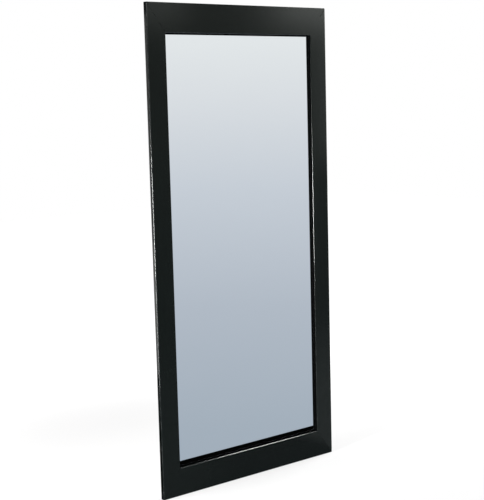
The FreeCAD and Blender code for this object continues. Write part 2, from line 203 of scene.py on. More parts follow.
# %% [markdown]
# A mirror has no colour of its own, so its look is the room in front of it. In the studio that room is
# nearly white at eye level and falls to a cool grey near the ground. Lacquer and steel see dark drapes as
# well, which keep the frame's edges black: overhead, along the sides, at the front left and in the rear
# corners. Walls and drapes could be built, but a world that changes with direction is cleaner.
# Light Path tells who looks: the camera sees plain white, the perfectly smooth pane the bare room, glossy
# surfaces the room with its drapes, and matt ones an even soft light.

# %% Studio world
STUDIO_FILL = 0.35
WALL_STOPS = (
    (0.30, (0.365, 0.425, 0.500)),
    (0.36, (0.412, 0.468, 0.543)),
    (0.41, (0.490, 0.533, 0.607)),
    (0.46, (0.625, 0.660, 0.725)),
    (0.50, (0.771, 0.785, 0.820)),
    (0.525, (0.850, 0.862, 0.878)),
)
CEILING_STOPS = (
    (0.62, (0.810, 0.824, 0.842)),
    (0.85, (0.700, 0.718, 0.740)),
)
DRAPE_STOPS = (
    (0.535, (0.800, 0.815, 0.830)),
    (0.570, (0.120, 0.124, 0.128)),
    (0.610, (0.030, 0.031, 0.033)),
    (0.800, (0.120, 0.124, 0.128)),
)
SIDE_DRAPE = (0.050, 0.053, 0.056, 1)

world = bpy.data.worlds.new("studio")
world.use_nodes = True
world.node_tree.nodes.clear()
studio = Bench(world.node_tree)
direction = studio.node("ShaderNodeTexCoord", out="Generated")
across, ahead, height = [studio.node("ShaderNodeSeparateXYZ", sockets={0: direction}, out=axis)
                         for axis in range(3)]
level = height * 0.5 + 0.5
room = studio.node("ShaderNodeValToRGB", {"stops": WALL_STOPS + CEILING_STOPS}, {0: level})
hung = studio.node("ShaderNodeValToRGB", {"stops": WALL_STOPS + DRAPE_STOPS}, {0: level})
left_front = (1 - studio.step(ahead, -0.20, 0.0)) * (1 - studio.step(across, -0.10, 0.20))
side_rear = studio.step(abs(across), 0.45, 0.62) * studio.step(ahead, -0.10, 0.10)
facing_wall = studio.step(abs(ahead) - abs(across), -0.45, -0.10)
undraped = facing_wall * (1 - left_front) * (1 - side_rear)
draped = studio.mix(undraped, SIDE_DRAPE, hung)
to_gloss = studio.node("ShaderNodeBackground", sockets={"Color": draped})
to_pane = studio.node("ShaderNodeBackground", sockets={"Color": room})
to_matt = studio.node("ShaderNodeBackground", sockets={"Color": grey(STUDIO_FILL)})
to_lens = studio.node("ShaderNodeBackground", sockets={"Color": grey(1.0)})
camera_ray, glossy_ray, pane_ray, clear_ray = [
    studio.node("ShaderNodeLightPath", out=ray)
    for ray in ("Is Camera Ray", "Is Glossy Ray", "Is Singular Ray", "Is Transmission Ray")]
lit = studio.node("ShaderNodeMixShader", sockets={0: glossy_ray.most(clear_ray), 1: to_matt, 2: to_gloss})
lit = studio.node("ShaderNodeMixShader", sockets={0: pane_ray, 1: lit, 2: to_pane})
seen = studio.node("ShaderNodeMixShader", sockets={0: camera_ray, 1: lit, 2: to_lens})
studio.node("ShaderNodeOutputWorld", sockets={"Surface": seen})
bpy.context.scene.world = world
bpy.context.scene.view_settings.view_transform = "Standard"
print("studio world with", len(WALL_STOPS), "shades from the ground to just above eye level")

# %% [markdown]
# Black lacquer shows its shape only by what it reflects, so each lamp here has an edge or a face to draw.
# The box overhead draws the thin line on the lower lip. The box at the left draws the lines on the left
# outer edge and on the right lip. A second box beside it makes the line on the right lip stronger, and
# a small panel near the foot carries the edge line down. Two panels behind at the left grey the narrow
# side. Two small boxes in front lift the ends of the top rail, and a strip lifts the upper part of the
# right stile. Soft area lamps do this; bare bulbs would leave dots.
# The pane takes no light from the lamps, or they would show in it as bright patches from other sides.
# Only the box overhead is let through, because the lower lip sees part of it by way of the pane.

# %% Studio lamps
LOWER_LIP = Vector((0.09, FRONT_LEVEL, FLOOR_LEVEL + RAIL_FACE))
RIGHT_LIP = Vector((HALF_SIGHT_WIDTH, FRONT_LEVEL, -0.30))
LEFT_SIDE_HIGH = Vector((-HALF_WIDTH, FRONT_LEVEL, -0.05))
LEFT_SIDE_LOW = Vector((-HALF_WIDTH, FRONT_LEVEL, -0.86))
LEFT_EDGE = Vector((-HALF_WIDTH, FRONT_LEVEL, -0.88))
RIGHT_HIGH = Vector((0.36, FRONT_LEVEL, 0.10))
TOP_RIGHT = Vector((0.32, FRONT_LEVEL, 0.36))
TOP_LEFT = Vector((-0.30, FRONT_LEVEL, 0.36))

all_but_pane = bpy.data.collections.new("all_but_pane")
all_but_pane.objects.link(frame["nodes"]["mirror_glass"])
all_but_pane.collection_objects[0].light_linking.link_state = "EXCLUDE"
right_stile_only = bpy.data.collections.new("right_stile_only")
right_stile_only.objects.link(frame["nodes"]["right_stile"])


def soft_box(name, aim, azimuth, elevation, reach, size, glow, lights=all_but_pane):
    """Area lamp of a given radiance, seen from aim at an azimuth from straight ahead and an elevation."""
    turn = math.radians(azimuth)
    rise = math.radians(elevation)
    outward = Vector((math.sin(turn) * math.cos(rise), -math.cos(turn) * math.cos(rise), math.sin(rise)))
    lamp = bpy.data.lights.new(name, "AREA")
    lamp.shape = "RECTANGLE"
    lamp.size, lamp.size_y = size
    lamp.energy = glow * math.pi * size[0] * size[1]
    box = bpy.data.objects.new(name, lamp)
    box.location = aim + outward * reach
    box.rotation_euler = facing(box.location, aim).to_euler()
    box.visible_camera = False
    box.light_linking.receiver_collection = lights
    bpy.context.scene.collection.objects.link(box)
    print(name, "at", [round(value, 2) for value in box.location], "with", round(lamp.energy), "W")
    return box


# Each lamp has its aim, azimuth and elevation in degrees, reach and size in metres, and radiance
soft_box("overhead_box", LOWER_LIP, 87, 52.5, 2.6, (1.2, 0.48), 48.0, lights=None)
soft_box("left_box", RIGHT_LIP, -83, -5, 2.5, (0.4, 0.7), 115.0)
soft_box("lip_box", RIGHT_LIP, -84, -7.4, 2.5, (0.5, 0.48), 95.0, lights=right_stile_only)
soft_box("rear_panel_high", LEFT_SIDE_HIGH, -138, 0, 1.3, (0.9, 1.00), 1.4)
soft_box("rear_panel_low", LEFT_SIDE_LOW, -138, 0, 1.3, (0.9, 0.62), 3.2)
soft_box("left_edge_panel", LEFT_EDGE, -104, 0, 0.6, (0.16, 0.36), 26.0)
soft_box("front_right_box", TOP_RIGHT, 43, 10, 1.3, (0.34, 0.32), 5.8)
soft_box("front_left_box", TOP_LEFT, 33, 9.5, 1.3, (0.18, 0.30), 4.5)
soft_box("right_strip", RIGHT_HIGH, 50, 3, 1.3, (0.25, 0.80), 2.3)

# %% [markdown]
# The floor is a pale sheet under the lower rail. The backdrop is to look white, so most of what the
# camera sees of the floor is its own glow, and the rest is lit paint that keeps a soft shadow.
# Mirrors and lacquer look past it to the studio world.

# %% Floor
FLOOR_HALF = 9.0
FLOOR_GAP = 0.0005
FLOOR_GLOW_NEAR = 0.56
FLOOR_GLOW_FAR = 1.00
FLOOR_GLOW_REACH = (1.5, 2.4)
FLOOR_PAINT = 0.24
FLOOR_BOUNCE = 0.8

floor_mesh = bpy.data.meshes.new("floor")
floor_corners = [(sx * FLOOR_HALF, sy * FLOOR_HALF, FLOOR_LEVEL - FLOOR_GAP)
                 for sx, sy in ((-1, -1), (1, -1), (1, 1), (-1, 1))]
floor_mesh.from_pydata(floor_corners, [], [(0, 1, 2, 3)])
floor = bpy.data.objects.new("floor", floor_mesh)
bpy.context.scene.collection.objects.link(floor)
floor.visible_glossy = False
floor.visible_transmission = False

pale = bpy.data.materials.new("pale_floor")
pale.use_nodes = True
pale.node_tree.nodes.clear()
ground = Bench(pale.node_tree)
painted = ground.node("ShaderNodeBsdfDiffuse", sockets={"Color": grey(FLOOR_PAINT)})
ground_place = ground.node("ShaderNodeTexCoord", out="Object")
from_foot = ground.node("ShaderNodeVectorMath", {"operation": "LENGTH"}, {0: ground_place}, out="Value")
glow = ground.mix(ground.step(from_foot, *FLOOR_GLOW_REACH), grey(FLOOR_GLOW_NEAR), grey(FLOOR_GLOW_FAR))
glowing = ground.node("ShaderNodeEmission", sockets={"Color": glow})
both = ground.node("ShaderNodeAddShader", sockets={0: painted, 1: glowing})
matt = ground.node("ShaderNodeBsdfDiffuse", sockets={"Color": grey(FLOOR_BOUNCE)})
to_camera = ground.node("ShaderNodeLightPath", out="Is Camera Ray")
shown = ground.node("ShaderNodeMixShader", sockets={0: to_camera, 1: matt, 2: both})
ground.node("ShaderNodeOutputMaterial", sockets={"Surface": shown})
floor_mesh.materials.append(pale)
print("floor at", round(FLOOR_LEVEL, 3), "m, under the lower rail")

# %% [markdown]
# Photographers lay a black card where a shiny side would otherwise catch the bright room. This one lies
# behind the mirror at its left, and only reflections can see it. It keeps the foot of the left side dark.

# %% Black card
CARD_CORNERS = ((-0.42, -0.06), (-0.55, 0.45), (-1.60, 1.35), (-2.20, 0.90))
STAGE_BLACK = grey(0.01)

card_mesh = bpy.data.meshes.new("black_card")
card_mesh.from_pydata([(x, y, FLOOR_LEVEL) for x, y in CARD_CORNERS], [], [(0, 1, 2, 3)])
black_card = bpy.data.objects.new("black_card", card_mesh)
bpy.context.scene.collection.objects.link(black_card)
black_card.visible_camera = False
black_card.visible_diffuse = False
black_card.visible_shadow = False
matt_black = bpy.data.materials.new("black_card")
matt_black.use_nodes = True
black_shader = matt_black.node_tree.nodes["Principled BSDF"]
black_shader.inputs["Base Color"].default_value = STAGE_BLACK
black_shader.inputs["Specular IOR Level"].default_value = 0.0
card_mesh.materials.append(matt_black)
print("black card laid behind the left side")

# %% [markdown]
# The pane lies deep in the frame, and along its foot and its head a dark band shows where it mirrors the
# shaded lip. Two narrow black flags stand right before those lips and widen the bands with painted shade.
# A deeper frame would do that too, but it would be too deep at the sides. Only the pane sees the flags: to
# all else they are clear.

# %% Black flags
FLAG_LEVEL = FRONT_LEVEL - 0.002
FLAG_OVERLAP = 0.004
LOWER_FLAG_RISE = 0.015
UPPER_FLAG_DROP = 0.004

# Painted shade that only the pane sees
pane_shade = bpy.data.materials.new("painted_shade_in_the_pane")
pane_shade.use_nodes = True
pane_shade.node_tree.nodes.clear()
veil = Bench(pane_shade.node_tree)
by_pane = veil.node("ShaderNodeLightPath", out="Is Singular Ray")
clear = veil.node("ShaderNodeBsdfTransparent")
inky = veil.node("ShaderNodeBsdfDiffuse", sockets={"Color": STAGE_BLACK})
veiled = veil.node("ShaderNodeMixShader", sockets={0: by_pane, 1: clear, 2: inky})
veil.node("ShaderNodeOutputMaterial", sockets={"Surface": veiled})


def black_flag(name, low, high):
    """A black strip across the frame between two heights, painted shade for reflections in the pane alone.
    """
    strip = bpy.data.meshes.new(name)
    corners = [(-HALF_WIDTH, low), (HALF_WIDTH, low), (HALF_WIDTH, high), (-HALF_WIDTH, high)]
    strip.from_pydata([(x, FLAG_LEVEL, z) for x, z in corners], [], [(0, 1, 2, 3)])
    strip.materials.append(pane_shade)
    flag = bpy.data.objects.new(name, strip)
    bpy.context.scene.collection.objects.link(flag)
    flag.visible_camera = False
    flag.visible_diffuse = False
    flag.visible_shadow = False
    print(name, "from", round(low, 4), "to", round(high, 4), "m")


# Painted shade: the flags widen the dark bands in the pane
black_flag("lower_flag", foot_high.z - FLAG_OVERLAP, foot_high.z + LOWER_FLAG_RISE)
black_flag("upper_flag", rail_low.z - UPPER_FLAG_DROP, rail_low.z + FLAG_OVERLAP)

# %% [markdown]
# Every finish starts the same way: a Principled shader, and the Object coordinates in metres. Since each
# solid sits at the origin with its place in its mesh, those coordinates are the same as the drawing's.
# A pattern can therefore be measured from the edges of the frame, and it stays put in every view.

# %% Start of a finish
class Finish(Bench):
    """A material with one Principled shader."""

    def __init__(self, name, **constants):
        self.material = bpy.data.materials.new(name)
        self.material.use_nodes = True
        super().__init__(self.material.node_tree)
        self.shader = self.tree.nodes["Principled BSDF"]
        self.place = self.node("ShaderNodeTexCoord", out="Object")
        for socket, value in constants.items():
            self.shader.inputs[socket.replace("_", " ")].default_value = value

    def axes(self):
        """The three Object coordinates, each as a number."""
        return [self.node("ShaderNodeSeparateXYZ", sockets={0: self.place}, out=axis)
                for axis in range(3)]

    def grain(self, scale, detail=3.0, rough=0.55, twist=0.0):
        """Noise from 0 to 1 with a scale per metre for each axis."""
        spread = self.node("ShaderNodeMapping", sockets={"Vector": self.place, "Scale": scale})
        return self.node("ShaderNodeTexNoise", sockets={
            "Vector": spread, "Scale": 1.0, "Detail": detail, "Roughness": rough, "Distortion": twist})

    def cells(self, scale):
        """A random number for each of many small cells."""
        sockets = {"Vector": self.place, "Scale": scale}
        colour = self.node("ShaderNodeTexVoronoi", sockets=sockets, out="Color")
        return self.node("ShaderNodeSeparateColor", sockets={0: colour})

    def feed(self, **parts):
        """Link what changes over the surface to the shader's sockets."""
        for socket, wire in parts.items():
            self.tree.links.new(wire.output, self.shader.inputs[socket.replace("_", " ")])

    def relief(self, height, depth):
        """Feed a height from 0 to 1 as a bump with a depth in metres."""
        bump = self.node("ShaderNodeBump", sockets={"Height": height, "Distance": depth, "Strength": 1.0})
        self.feed(Normal=bump)

    def overlay(self, share, shader):
        """Lay another shader over the Principled one where share is 1."""
        base = Wire(self, self.shader.outputs[0])
        both = self.node("ShaderNodeMixShader", sockets={0: share, 1: base, 2: shader})
        self.tree.links.new(both.output, self.tree.nodes["Material Output"].inputs["Surface"])


def even(scale):
    """The same noise scale along all three axes."""
    return (scale, scale, scale)


def dress(finish, *nodes):
    """Put a finish on solids that keep their shape."""
    for name in nodes:
        frame["nodes"][name].data.materials[0] = finish.material
    print(finish.material.name, "on", len(nodes), "solids")


# %% [markdown]
# The boards are sprayed with black satin lacquer, laid off along each board's length, so the strokes meet
# at right angles where the boards are mitred. The eased edges are rubbed a little brighter by hands and
# carry a painted highlight, the mitre shows as a hairline that the paint has not quite filled, and the
# back is only stained. Dust dulls the top side. A painted sheen lies at the lower corners, most of it at
# the right one, the narrow outer sides are painted darker as shade, and the inside of the lip is painted
# as shade in matt near-black. All of that is measured from the frame's edges, with one finish for the
# rails and one for the stiles. They differ in the way of their strokes and in how low the painted sheen
# reaches.

# %% Black lacquer
LACQUER_SHEEN = (0.94, 1.00, 0.94, 1)
# Painted shade on the narrow outer sides
LACQUER_SIDE_SHADE = (0.0003, 0.0004, 0.0004, 1)
LACQUER_DEEP = (0.0019, 0.0032, 0.0026, 1)
LACQUER_THIN = (0.0031, 0.0047, 0.0040, 1)
# Dust on the top side and a painted sheen at the lower corners share this lighter colour
LACQUER_DUST_AND_SHEEN = (0.0125, 0.0148, 0.0142, 1)
# Rubbing and a painted highlight on the eased edges
LACQUER_RUBBED_HIGHLIGHT = (0.030, 0.032, 0.032, 1)
# Matt near-black: painted shade inside the lip, also used on the mitre hairline and the dusty top
LACQUER_MATT_AND_SHADE = (0.0012, 0.0013, 0.0014, 1)
BACK_STAIN = (0.0150, 0.0135, 0.0120, 1)
STAIN_EDGE = (BACK_LEVEL - 0.0035, BACK_LEVEL - 0.0045)
STROKES_ALONG_X = (2.4, 40.0, 320.0)
STROKES_ALONG_Z = (320.0, 40.0, 2.4)
EDGE_ROUND = 0.002
SIDE_SKIN = (0.0002, 0.0006)
LIP_SKIN = (0.0011, 0.0016)
MITRE_GAP = 0.0012
# Where the painted sheen at the lower corners lies and how it fades
SHEEN_SLOPE = 0.42
SHEEN_LEVEL = FLOOR_LEVEL + SHEEN_SLOPE * HALF_SIGHT_WIDTH
SHEEN_FADE = 0.065
SHEEN_TOP = (FLOOR_LEVEL + 0.25, FLOOR_LEVEL + 0.62)
RIGHT_HALF = (0.0, 0.2)
LEFT_HALF = (0.0, -0.3)
FAINT_SHEEN = 0.2
RAIL_SHEEN_START = 0.034
STILE_SHEEN_START = 0.0


def corner_sheen(finish, x, z, sheen_start):
    """Painted sheen at the lower corners: a slanting patch at the right one and a faint trace at the left
    one.
    """
    slant = z + x * SHEEN_SLOPE - SHEEN_LEVEL
    patch = finish.step(slant, sheen_start, sheen_start + SHEEN_FADE) * finish.step(x, *RIGHT_HALF)
    trace = FAINT_SHEEN * finish.step(x, *LEFT_HALF)
    return (1 - finish.step(z, *SHEEN_TOP)) * (patch + trace)


def lacquer(name, stroke_scale, sheen_start):
    """Satin black, with its strokes along one axis and its painted corner sheen from a height above a
    slanting line.
    """
    finish = Finish(name, Specular_IOR_Level=0.125, Specular_Tint=LACQUER_SHEEN,
                    Coat_Roughness=0.14, Coat_IOR=1.5)
    x, y, z = finish.axes()
    from_side = HALF_WIDTH - abs(x)
    from_end = HALF_HEIGHT - abs(z - MIDDLE_HEIGHT)
    outer = from_side.least(from_end)
    sight = (abs(x) - HALF_SIGHT_WIDTH).most(abs(z - MIDDLE_HEIGHT) - HALF_SIGHT_HEIGHT)
    mitre = abs(from_side * RAIL_FACE - from_end * STILE_FACE) / math.hypot(RAIL_FACE, STILE_FACE)

    strokes = finish.grain(stroke_scale, detail=2.0)
    peel = finish.grain(even(700), detail=2.0)
    cloud = finish.grain(even(6), detail=2.0)
    blotch = finish.grain(even(38), detail=4.0, rough=0.65)

    front = finish.step(y, *STAIN_EDGE)
    eased = 1 - finish.step(y, FRONT_LEVEL + EDGE_ROUND * 0.7, FRONT_LEVEL + EDGE_ROUND)
    rounding = (1 - finish.step(outer.least(sight), EDGE_ROUND * 0.7, EDGE_ROUND * 1.2)) * eased
    # Rubbed edges with a painted highlight: blotches of lighter colour on the eased edges
    rubbed_and_highlit = rounding * finish.step(blotch, 0.42, 0.66)
    hairline = (1 - finish.step(mitre, MITRE_GAP * 0.4, MITRE_GAP)) * finish.step(blotch, 0.40, 0.62)
    flank = (1 - finish.step(outer, *SIDE_SKIN)) * (1 - eased)
    top_side = 1 - finish.step(rail_high.z - z, *SIDE_SKIN)
    recess = (1 - finish.step(sight, *LIP_SKIN)) * (1 - eased)
    # Dust on the top side, and a painted sheen at the lower corners
    dust_and_sheen = (corner_sheen(finish, x, z, sheen_start) * (1 - flank)).most(top_side)

    paint = finish.mix(strokes * 0.5 + cloud * 0.5, LACQUER_DEEP, LACQUER_THIN)
    # Painted shade: the narrow outer sides get a darker base colour than the front
    paint = finish.mix(flank, paint, LACQUER_SIDE_SHADE)
    # Lighter colour for the dust on the top side and for the painted sheen at the lower corners
    paint = finish.mix(dust_and_sheen * (0.5 + 0.5 * blotch), paint, LACQUER_DUST_AND_SHEEN)
    paint = finish.mix(rubbed_and_highlit * 0.55, paint, LACQUER_RUBBED_HIGHLIGHT)
    satin = 0.18 + 0.06 * cloud + 0.04 * peel
    satin = satin * (1 - 0.70 * flank * (1 - top_side)) + 0.30 * top_side
    bare_back = 0.58 + 0.2 * blotch
    finish.feed(Base_Color=finish.mix(front, BACK_STAIN, paint), Coat_Weight=rounding * (1 - top_side),
                Roughness=satin * front + bare_back * (1 - front))
    finish.relief(strokes * 0.45 + peel * 0.20 - hairline * 0.3, 0.00012)

    # Painted shade: the inside of the lip becomes matt near-black, as do the mitre hairline and most of
    # the top side
    shade_joint_and_top = recess.most(hairline * 0.9).most(top_side * 0.92)
    matt = finish.node("ShaderNodeBsdfDiffuse", sockets={"Color": LACQUER_MATT_AND_SHADE})
    finish.overlay(shade_joint_and_top, matt)
    return finish


along_rails = lacquer("lacquer_along_rails", STROKES_ALONG_X, RAIL_SHEEN_START)
along_stiles = lacquer("lacquer_along_stiles", STROKES_ALONG_Z, STILE_SHEEN_START)
dress(along_rails, "top_rail", "bottom_rail")
dress(along_stiles, "left_stile", "right_stile")

# %% [markdown]
# The pane is float glass silvered on its back. Real glass over metal could be built in two layers, but
# what the eye takes in is one clean reflection with a faint cool tint, and that also survives an export.
# So the pane is a perfectly smooth metal of that tint, a trace duller where it was last wiped.

# %% Silvered pane
SILVER_CLEAR = (0.900, 0.930, 0.930, 1)
SILVER_DULL = (0.885, 0.915, 0.918, 1)

silver = Finish("silvered_pane", Metallic=1.0, Roughness=0.0)
wiped = silver.grain((3.0, 3.0, 9.0), detail=3.0, twist=0.8)
silver.feed(Base_Color=silver.mix(wiped, SILVER_CLEAR, SILVER_DULL))
dress(silver, "mirror_glass")

# %% [markdown]
# The corner plates, hanger straps and turn buttons are pressed from zinc plated steel. Fresh plating is
# bluish, grows in small crystals, and takes fine scratches from the press and from handling.
# Voronoi cells give the crystals and long thin noise gives the scratches.

# %% Zinc plated steel
ZINC_DARK = (0.430, 0.448, 0.470, 1)
ZINC_LIGHT = (0.640, 0.655, 0.670, 1)
ZINC_TARNISH = (0.400, 0.380, 0.330, 1)

zinc = Finish("zinc_plating", Metallic=0.75)
crystals = zinc.cells(260)
lengthwise = zinc.grain((60.0, 400.0, 2400.0), detail=2.0)
crosswise = zinc.grain((2400.0, 400.0, 60.0), detail=2.0)
scratched = zinc.step(lengthwise.most(crosswise), 0.60, 0.74)
tarnish = zinc.step(zinc.grain(even(55), detail=4.0), 0.56, 0.78)
plating = zinc.mix(crystals * 0.6 + 0.4 * scratched, ZINC_DARK, ZINC_LIGHT)
zinc.feed(Base_Color=zinc.mix(tarnish * 0.4, plating, ZINC_TARNISH),
          Roughness=0.42 + 0.14 * crystals + 0.12 * tarnish - 0.06 * scratched)
zinc.relief(crystals * 0.3 + scratched * 0.4, 0.00004)
pressed = ("corner_plate_", "hanger_strap_", "turn_button_")
plates = [name for name in frame["nodes"] if name.startswith(pressed) and not name.endswith("_screws")]
dress(zinc, *plates)

# %% [markdown]
# The rings are bent from bright nickelled wire. It is smoother than the pressed steel, a little warmer,
# and dulled where it has been handled.

# %% Nickelled wire
NICKEL_BRIGHT = (0.660, 0.630, 0.580, 1)
NICKEL_DULL = (0.470, 0.445, 0.400, 1)

nickel = Finish("nickelled_wire", Metallic=1.0)
handled = nickel.grain(even(140), detail=4.0)
drawn = nickel.grain((90.0, 1500.0, 1500.0), detail=2.0)
nickel.feed(Base_Color=nickel.mix(nickel.step(handled, 0.45, 0.75), NICKEL_BRIGHT, NICKEL_DULL),
            Roughness=0.14 + 0.16 * handled)
nickel.relief(drawn, 0.00002)
dress(nickel, "hanger_ring_left", "hanger_ring_right")

# %% [markdown]
# The board that closes the back is pressed from wood fibres on a wire screen, and its back keeps the
# print of that screen. The fibres are two sizes of noise and the print is two crossed sine waves.

# %% Hardboard
BOARD_DARK = (0.100, 0.054, 0.027, 1)
BOARD_LIGHT = (0.235, 0.142, 0.078, 1)
BOARD_FLECK = (0.045, 0.024, 0.013, 1)
SCREEN_PITCH = 0.0024

hardboard = Finish("screen_back_hardboard", Specular_IOR_Level=0.25)
board_x, _, board_z = hardboard.axes()
per_metre = 2 * math.pi / SCREEN_PITCH
screen = (board_x * per_metre).sine() * (board_z * per_metre).sine() * 0.5 + 0.5
fibres = hardboard.grain(even(260), detail=6.0, rough=0.7, twist=1.5)
drift = hardboard.grain(even(9), detail=3.0)
flecks = hardboard.step(hardboard.grain((500.0, 500.0, 900.0), detail=2.0), 0.64, 0.74)
pulp = hardboard.mix(fibres * 0.6 + drift * 0.3 + screen * 0.1, BOARD_DARK, BOARD_LIGHT)
hardboard.feed(Base_Color=hardboard.mix(flecks * 0.6, pulp, BOARD_FLECK), Roughness=0.66 + 0.2 * fibres)
hardboard.relief(screen * 0.7 + fibres * 0.3, 0.00022)
dress(hardboard, "backing_board")

# %% [markdown]
# The bumpers are moulded rubber with a dry bloom, and the tape, blocks and spacers round the pane are a
# softer black rubber. One recipe makes both, with its own colours and coarseness.

# %% Rubber
BUMPER_BODY = (0.020, 0.018, 0.017, 1)
BUMPER_BLOOM = (0.060, 0.057, 0.053, 1)
GLAZING_BODY = (0.011, 0.011, 0.012, 1)
GLAZING_BLOOM = (0.026, 0.026, 0.027, 1)


def rubber(name, body, bloom, coarse):
    """Black rubber with a chalky bloom in patches, and pores finer than those."""
    finish = Finish(name, Specular_IOR_Level=0.30)
    chalky = finish.step(finish.grain(even(coarse), detail=5.0, rough=0.7), 0.45, 0.75)
    pores = finish.grain(even(coarse * 14), detail=2.0)
    finish.feed(Base_Color=finish.mix(chalky * 0.6, body, bloom), Roughness=0.55 + 0.25 * chalky)
    finish.relief(pores, 0.00006)
    return finish


dress(rubber("bumper_rubber_moulded", BUMPER_BODY, BUMPER_BLOOM, 160), "wall_bumpers")
soft_rubber = rubber("glazing_rubber", GLAZING_BODY, GLAZING_BLOOM, 240)
dress(soft_rubber, "glazing_tape_left", "glazing_tape_right", "glazing_tape_top", "glazing_tape_bottom",
      "setting_blocks", "edge_spacers")

# %% [markdown]
# Behind the pane lie a safety film, reinforced with a fine net of threads, and a sheet of corrugated
# card. Neither shows while the mirror is whole, but a part that is taken to pieces shows them.
# The net and the flutes are sine waves, given in radians per metre.

# %% Film and card
FILM_CLEAR = (0.235, 0.280, 0.310, 1)
FILM_THREAD = (0.400, 0.440, 0.465, 1)
NET_WAVES = 500
CARD_DARK = (0.250, 0.160, 0.088, 1)
CARD_LIGHT = (0.430, 0.300, 0.180, 1)
FLUTE_WAVES = 1400

film = Finish("netted_film", Specular_IOR_Level=0.35)
film_x, _, film_z = film.axes()
net = abs((film_x * NET_WAVES).sine()).most(abs((film_z * NET_WAVES).sine())) ** 12
film_haze = film.grain(even(14), detail=3.0)
film.feed(Base_Color=film.mix(net * 0.6 + film_haze * 0.2, FILM_CLEAR, FILM_THREAD),
          Roughness=0.38 + 0.2 * film_haze)
film.relief(net, 0.00005)
dress(film, "safety_film")

fluted = Finish("corrugated_card", Specular_IOR_Level=0.20)
fluted_x, _, _ = fluted.axes()
flutes = (fluted_x * FLUTE_WAVES).sine() * 0.5 + 0.5
paper = fluted.grain((300.0, 300.0, 700.0), detail=5.0, rough=0.7)
fluted.feed(Base_Color=fluted.mix(paper * 0.75 + flutes * 0.25, CARD_DARK, CARD_LIGHT),
            Roughness=0.78 + 0.12 * paper)
fluted.relief(flutes * 0.6 + paper * 0.2, 0.00020)
dress(fluted, "cardboard_sheet")

# %% [markdown]
# The V nails are driven into the back of each mitre until only their thin edges show.
# They are plain spring steel, blued a little by heat and scraped bright by the driver.

# %% Nail steel
NAIL_BLUED = (0.190, 0.200, 0.230, 1)
NAIL_SCRAPED = (0.420, 0.410, 0.395, 1)

nail = Finish("blued_nail_steel", Metallic=1.0)
blued = nail.grain(even(600), detail=4.0)
nail.feed(Base_Color=nail.mix(nail.step(blued, 0.35, 0.7), NAIL_BLUED, NAIL_SCRAPED),
          Roughness=0.30 + 0.25 * blued)
nail.relief(blued, 0.00004)
dress(nail, "mitre_v_nails")

# %% [markdown]
# Thirty screws hold the back together. Each has a domed head with a tapered cross cut into it, a tapering
# core and a thread wound round that. Modelling one and copying it thirty times would work, but a tree of
# Geometry Nodes keeps the recipe and its sizes in one place, and turns each screw as a driver left it.

# %% Screw steel
SCREW_BRIGHT = (0.620, 0.610, 0.580, 1)
SCREW_DULL = (0.350, 0.340, 0.315, 1)

screw_steel = Finish("bright_screw_steel", Metallic=1.0)
stained = screw_steel.grain(even(420), detail=4.0)
turned = screw_steel.cells(1500)
dulled = screw_steel.step(stained, 0.4, 0.75)
screw_steel.feed(Base_Color=screw_steel.mix(dulled, SCREW_BRIGHT, SCREW_DULL),
                 Roughness=0.22 + 0.20 * stained + 0.05 * turned)
screw_steel.relief(stained * 0.6 + turned * 0.4, 0.00003)
print("screw steel ready")

# %% Screw tree
SCREW_SIZES = ("Head Radius", "Head Height", "Shank Radius", "Shank Length", "Thread Pitch",
               "Cross Width", "Cross Span", "Cross Depth")


def screw_tree():
    """Geometry Nodes that put a screw on each point, with its head towards the wall."""
    tree = bpy.data.node_groups.new("screws_on_seats", "GeometryNodeTree")
    tree.interface.new_socket("Seats", in_out="INPUT", socket_type="NodeSocketGeometry")
    for name in SCREW_SIZES:
        tree.interface.new_socket(name, in_out="INPUT", socket_type="NodeSocketFloat")
    tree.interface.new_socket("Turn Seed", in_out="INPUT", socket_type="NodeSocketInt")
    tree.interface.new_socket("Steel", in_out="INPUT", socket_type="NodeSocketMaterial")
    tree.interface.new_socket("Screws", in_out="OUTPUT", socket_type="NodeSocketGeometry")
    bench = Bench(tree)
    entry = tree.nodes.new("NodeGroupInput")
    size = {socket.name: Wire(bench, socket) for socket in entry.outputs if socket.name}

    head = turned_form(bench, size["Head Height"], size["Head Radius"], head_profile, 9)
    for quarter in (0.0, math.pi / 2):
        head = bench.node("GeometryNodeMeshBoolean", {"operation": "DIFFERENCE", "solver": "EXACT"},
                          {"Mesh 1": head, "Mesh 2": cross_bar(bench, size, quarter)})
    core = turned_form(bench, size["Shank Length"] * -1, size["Shank Radius"], core_profile, 7)
    screw = bench.node("GeometryNodeJoinGeometry", sockets={0: [head, core, thread(bench, size)]})

    spin = bench.node("FunctionNodeRandomValue", {"data_type": "FLOAT"},
                      {2: 0.0, 3: math.pi / 2, "Seed": size["Turn Seed"]}, out=1)
    turn = bench.node("ShaderNodeCombineXYZ", sockets={0: -math.pi / 2, 1: spin})
    placed = bench.node("GeometryNodeInstanceOnPoints",
                        sockets={"Points": size["Seats"], "Instance": screw, "Rotation": turn})
    whole = bench.node("GeometryNodeRealizeInstances", sockets={0: placed})
    plated = bench.node("GeometryNodeSetMaterial", sockets={"Geometry": whole, "Material": size["Steel"]})
    bench.node("NodeGroupOutput", sockets={0: plated})
    return tree


def turned_form(bench, length, radius, profile, rings):
    """A form turned on a lathe: a line up the axis, swept by a circle whose radius follows a profile."""
    top = bench.node("ShaderNodeCombineXYZ", sockets={2: length})
    axis = bench.node("GeometryNodeCurvePrimitiveLine", sockets={"End": top})
    axis = bench.node("GeometryNodeResampleCurve", sockets={"Curve": axis, "Count": rings})
    along = bench.node("GeometryNodeSplineParameter")
    circle = bench.node("GeometryNodeCurvePrimitiveCircle", sockets={"Resolution": 28, "Radius": 1.0})
    return bench.node("GeometryNodeCurveToMesh", sockets={
        "Curve": axis, "Profile Curve": circle, "Scale": radius * profile(along), "Fill Caps": True})


